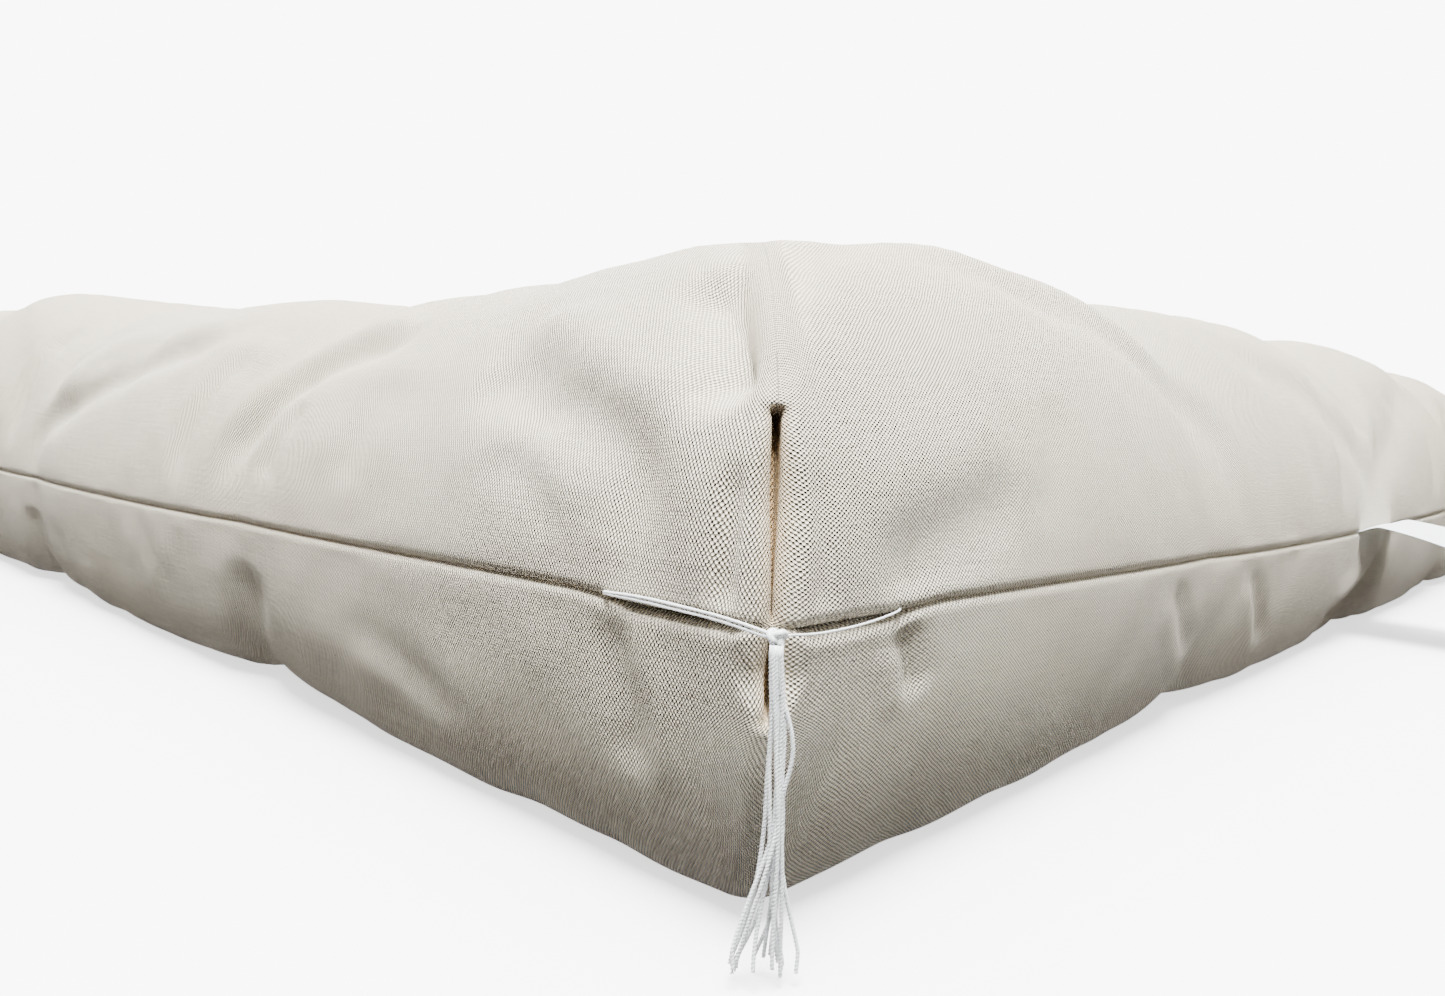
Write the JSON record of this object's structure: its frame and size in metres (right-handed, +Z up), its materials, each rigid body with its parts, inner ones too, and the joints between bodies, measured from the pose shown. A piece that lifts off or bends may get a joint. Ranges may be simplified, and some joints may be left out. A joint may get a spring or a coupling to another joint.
{
  "type": "floor cushion",
  "caption": "Square tufted floor cushion in natural cotton canvas over cotton batting, with tucked corners tied by white thread tassels and a care label in the side seam.",
  "frame": {"origin": "on the floor under the middle of the square cushion, below the centre tuft", "axes": "+Z up, +X to the right-hand side with the care label, +Y to the back; the front is the -Y side"},
  "size_m": [0.7455, 0.711, 0.104],
  "materials": {
    "canvas": "matte unbleached plain-weave cotton canvas",
    "sewing_thread": "matte cotton sewing thread",
    "tassel_thread": "glossy white twisted thread",
    "tuft_thread": "matte cotton tufting twine",
    "cotton_batting": "loose carded cotton",
    "label_tape": "smooth white woven tape"
  },
  "bodies": {
    "cushion": {"top_panel": "canvas", "bottom_panel": "canvas", "seam_thread": "sewing_thread", "closing_stitches": "sewing_thread", "batting_bottom": "cotton_batting", "batting_lower": "cotton_batting", "batting_core": "cotton_batting", "batting_upper": "cotton_batting", "batting_top": "cotton_batting", "tuft_tie_1": "tuft_thread", "tuft_tie_2": "tuft_thread", "tuft_tie_3": "tuft_thread", "tuft_tie_4": "tuft_thread", "tuft_tie_5": "tuft_thread", "tuft_tie_6": "tuft_thread", "tuft_tie_7": "tuft_thread", "tuft_tie_8": "tuft_thread", "tuft_tie_9": "tuft_thread", "corner_wad_front_right": "cotton_batting", "corner_tie_front_right": "tassel_thread", "corner_knot_front_right": "tassel_thread", "corner_wad_front_left": "cotton_batting", "corner_tie_front_left": "tassel_thread", "corner_knot_front_left": "tassel_thread", "corner_wad_back_right": "cotton_batting", "corner_tie_back_right": "tassel_thread", "corner_knot_back_right": "tassel_thread", "corner_wad_back_left": "cotton_batting", "corner_tie_back_left": "tassel_thread", "corner_knot_back_left": "tassel_thread"},
    "tassel_front_right": {"tassel_front_right": "tassel_thread"},
    "tassel_front_left": {"tassel_front_left": "tassel_thread"},
    "tassel_back_right": {"tassel_back_right": "tassel_thread"},
    "tassel_back_left": {"tassel_back_left": "tassel_thread"},
    "care_label": {"care_label": "label_tape"}
  },
  "joints": [
    {"name": "tassel_swing_front_right", "type": "hinge", "parent": "cushion", "child": "tassel_front_right", "pos_m": [0.3517, -0.3517, 0.0444], "axis": [-0.7071, -0.7071, 0], "range_deg": [0, 120]},
    {"name": "tassel_swing_front_left", "type": "hinge", "parent": "cushion", "child": "tassel_front_left", "pos_m": [-0.3517, -0.3517, 0.0444], "axis": [-0.7071, 0.7071, 0], "range_deg": [0, 120]},
    {"name": "tassel_swing_back_right", "type": "hinge", "parent": "cushion", "child": "tassel_back_right", "pos_m": [0.3517, 0.3517, 0.0444], "axis": [0.7071, -0.7071, 0], "range_deg": [0, 120]},
    {"name": "tassel_swing_back_left", "type": "hinge", "parent": "cushion", "child": "tassel_back_left", "pos_m": [-0.3517, 0.3517, 0.0444], "axis": [0.7071, 0.7071, 0], "range_deg": [0, 120]},
    {"name": "label_flap", "type": "hinge", "parent": "cushion", "child": "care_label", "pos_m": [0.3506, 0.004, 0.045], "axis": [0, 1, 0], "range_deg": [-60, 60]}
  ]
}
